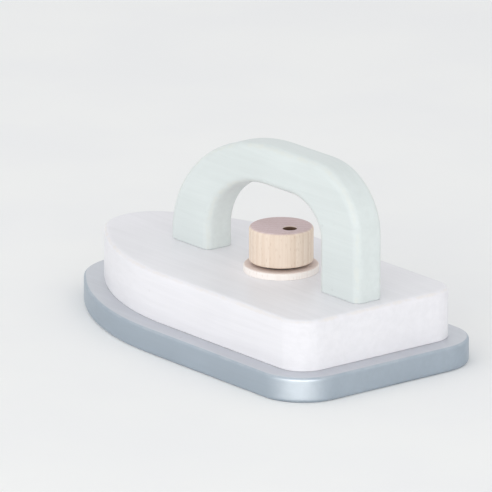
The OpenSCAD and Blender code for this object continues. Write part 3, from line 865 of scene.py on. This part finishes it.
# The white paint's faint blue cast is partly painted light, standing in for coloured light bounced from the
# surroundings
body_paint = painted("White paint", paint_film, paint=srgb(0.93, 0.925, 0.938),
                     primer=srgb(0.92, 0.895, 0.87), grain=(16, 380, 380), gloss=0.36)
handle_paint = painted("Pale mint paint", paint_film, paint=srgb(0.86, 0.886, 0.879),
                       primer=srgb(0.87, 0.88, 0.85), grain=(20, 430, 430), gloss=0.36)
# The knob's end colour darkens its top as end grain and also as painted shade, with a mauve cast
bare_wood = wooden("Bare beech", turned_wood, light=srgb(0.935, 0.87, 0.805), dark=srgb(0.88, 0.795, 0.715),
                   ray=srgb(0.78, 0.67, 0.575), end=srgb(0.91, 0.885, 0.965), pith=(-0.052, 0.024, 0),
                   ring=2.3 * MM)
# The ring's end colour is painted shade: the knob's shadow on the ring's top face
pale_wood = wooden("Pale beech", turned_wood, light=srgb(0.985, 0.962, 0.94), dark=srgb(0.97, 0.935, 0.91),
                   ray=srgb(0.88, 0.81, 0.76), end=srgb(0.90, 0.86, 0.85), pith=(-0.01, -0.03, 0),
                   ring=1.8 * MM)
dowel_wood = wooden("Dowel wood", turned_wood, light=srgb(0.88, 0.78, 0.64), dark=srgb(0.77, 0.62, 0.46),
                    ray=srgb(0.55, 0.40, 0.28), end=srgb(0.90, 0.88, 0.86), pith=(0.01, 0.03, 0),
                    ring=1.7 * MM)
zinc_steel = plated("Zinc plated steel", plated_steel, metal=srgb(0.78, 0.79, 0.80),
                    tarnish=srgb(0.70, 0.70, 0.68), gloss=0.28)
spring_steel = plated("Spring steel", plated_steel, metal=srgb(0.45, 0.46, 0.48),
                      tarnish=srgb(0.30, 0.29, 0.29), gloss=0.33)
# The felt washer's dark brown is partly painted shade, standing in for the shadow in the seam between ring
# and knob
dark_felt = felted("Dark felt", pressed_felt, light=srgb(0.40, 0.34, 0.29), dark=srgb(0.21, 0.17, 0.145))

soleplate = make_soleplate(sole_paint)
make_body(body_paint)
make_handle(handle_paint)
make_ring(pale_wood)
make_knob(bare_wood)
make_felt(dark_felt)
make_dowels(dowel_wood)
make_screws("HandleScrews", zinc_steel, HANDLE_SCREW, foot_screws, body_low[2] + HANDLE_SCREW["sink"],
            DECK_Z - body_low[2] - HANDLE_SCREW["sink"], "iron", "handle_screws")
make_screws("SoleScrews", zinc_steel, SOLE_SCREW, sole_screws, sole_low[2] + SOLE_SCREW["sink"],
            sole_high[2] - SOLE_SCREW["sink"], "iron", "sole_screws")
make_screws("DialScrew", zinc_steel, DIAL_SCREW, [DIAL_AT], spring_low[2] - DIAL_HEAD_H,
            DIAL_HEAD_H + knob_low[2] - spring_low[2], "dial", "dial_screw", DIAL_HEAD_H, DIAL_CROWN_H)
make_plain_washer(zinc_steel)
make_spring_washer(spring_steel)


# Floor, lamps, background and camera

FLOOR_Z = sole_low[2] - 0.05 * MM
FLOOR_R = 1.5
FADE_FROM = 0.35
FADE_TO = 1.4

# Strength of the surroundings' light near the horizon, straight overhead and steeply below
FILL_HORIZON = 1.23
FILL_OVERHEAD = 0.68
FILL_BELOW = 0.75

LAMP_TARGET = Vector((0, 0, 0.03))
CAMERA_TARGET = Vector((0.002, 0, 0.031))
CAMERA_AT = Vector((-2.1398, 1.7032, 0.8503))


def make_floor():
    """Pale round floor that fades into the background. It is clear from below, and to all light on a path
    that came in through it from below."""
    mesh = bpy.data.meshes.new("Floor")
    rim = level(circle((0, 0), FLOOR_R), FLOOR_Z)
    mesh.from_pydata(rim, [], [list(range(len(rim)))])
    material, tree = new_material("Pale floor")
    at = own_coordinates(tree)
    shade = stretch(tree, noise(tree, at, scale=14, detail=4))
    colour = blend(tree, shade, srgb(0.975, 0.975, 0.975), srgb(0.985, 0.985, 0.98))
    relief = bump(tree, noise(tree, at, scale=900), 0.01 * MM)
    surface = make(tree, "ShaderNodeBsdfPrincipled", {"Base Color": colour, "Roughness": 0.9,
                                                      "Specular IOR Level": 0.1, "Normal": relief})
    clear = make(tree, "ShaderNodeBsdfTransparent", {})
    away = vector_maths(tree, "LENGTH", at)["Value"]
    behind = make(tree, "ShaderNodeNewGeometry", {}).outputs["Backfacing"]
    passed = make(tree, "ShaderNodeLightPath", {}).outputs["Transparent Depth"]
    below = maths(tree, "MAXIMUM", behind, passed)
    fade = maths(tree, "MAXIMUM", remap(tree, away, FADE_FROM, FADE_TO), below, clamp=True)
    both = make(tree, "ShaderNodeMixShader", {0: fade, 1: surface.outputs[0], 2: clear.outputs[0]})
    tree.links.new(both.outputs[0], make(tree, "ShaderNodeOutputMaterial", {}).inputs[0])
    mesh.materials.append(material)
    floor = bpy.data.objects.new("Floor", mesh)
    bpy.context.scene.collection.objects.link(floor)


def aim(thing, target):
    thing.rotation_euler = (target - thing.location).to_track_quat("-Z", "Y").to_euler()


def make_lamp(name, angle, elevation, distance, width, height, power, tint=(1, 1, 1), onto=None):
    """Softbox aimed at the iron, from an angle about it and above it in degrees. An accent lights the one
    piece that it is put onto."""
    data = bpy.data.lights.new(name, "AREA")
    data.shape = "RECTANGLE"
    data.size = width
    data.size_y = height
    data.energy = power
    data.color = tint
    lamp = bpy.data.objects.new(name, data)
    turn, rise = math.radians(angle), math.radians(elevation)
    toward = Vector((math.cos(turn) * math.cos(rise), math.sin(turn) * math.cos(rise), math.sin(rise)))
    lamp.location = LAMP_TARGET + distance * toward
    aim(lamp, LAMP_TARGET)
    if onto:
        lit = bpy.data.collections.new(name)
        lit.objects.link(onto)
        lamp.light_linking.receiver_collection = lit
    bpy.context.scene.collection.objects.link(lamp)


def make_world():
    """Pale surroundings where they are seen directly or in a reflection. For all other light they are a dome
    that is brighter at its foot than overhead, as in a white studio with lit walls, and dimmer again from
    below, where only views through the clear floor show it."""
    world = bpy.data.worlds.new("Surroundings")
    world.use_nodes = True
    tree = world.node_tree
    tree.nodes.clear()
    path = make(tree, "ShaderNodeLightPath", {}).outputs
    seen = maths(tree, "MAXIMUM", path["Is Camera Ray"], path["Is Transmission Ray"])
    seen = maths(tree, "MAXIMUM", seen, path["Is Glossy Ray"])
    direction = make(tree, "ShaderNodeTexCoord", {}).outputs["Generated"]
    height = make(tree, "ShaderNodeSeparateXYZ", {0: direction}).outputs[2]
    strength = maths(tree, "MINIMUM", remap(tree, height, 0.0, 1.0, FILL_HORIZON, FILL_OVERHEAD),
                     remap(tree, height, -0.7, -0.15, FILL_BELOW, FILL_HORIZON))
    fill = make(tree, "ShaderNodeBackground", {"Color": srgb(0.945, 0.95, 0.955), "Strength": strength})
    pale = make(tree, "ShaderNodeBackground", {"Color": srgb(0.95, 0.955, 0.96), "Strength": 1.0})
    mixed = make(tree, "ShaderNodeMixShader", {0: seen, 1: fill.outputs[0], 2: pale.outputs[0]})
    tree.links.new(mixed.outputs[0], make(tree, "ShaderNodeOutputWorld", {}).inputs[0])
    bpy.context.scene.world = world


def make_camera():
    """Long lens at the photo's viewing angle, aimed straight at the iron."""
    data = bpy.data.cameras.new("Camera")
    data.lens = 600
    data.sensor_width = 36
    data.clip_start = 0.1
    data.clip_end = 20
    camera = bpy.data.objects.new("Camera", data)
    camera.location = CAMERA_AT
    aim(camera, CAMERA_TARGET)
    bpy.context.scene.collection.objects.link(camera)
    bpy.context.scene.camera = camera


make_floor()
make_world()
make_lamp("Key", angle=130, elevation=21, distance=1.5, width=2.4, height=1.2, power=8.7)
make_lamp("Top", angle=20, elevation=70, distance=1.6, width=0.9, height=0.9, power=1.5)
make_lamp("Glint", angle=132, elevation=2.5, distance=1.5, width=2.1, height=0.25, power=18,
          tint=(1.0, 0.87, 0.75), onto=soleplate)
make_camera()
bpy.context.scene.view_settings.view_transform = "Standard"
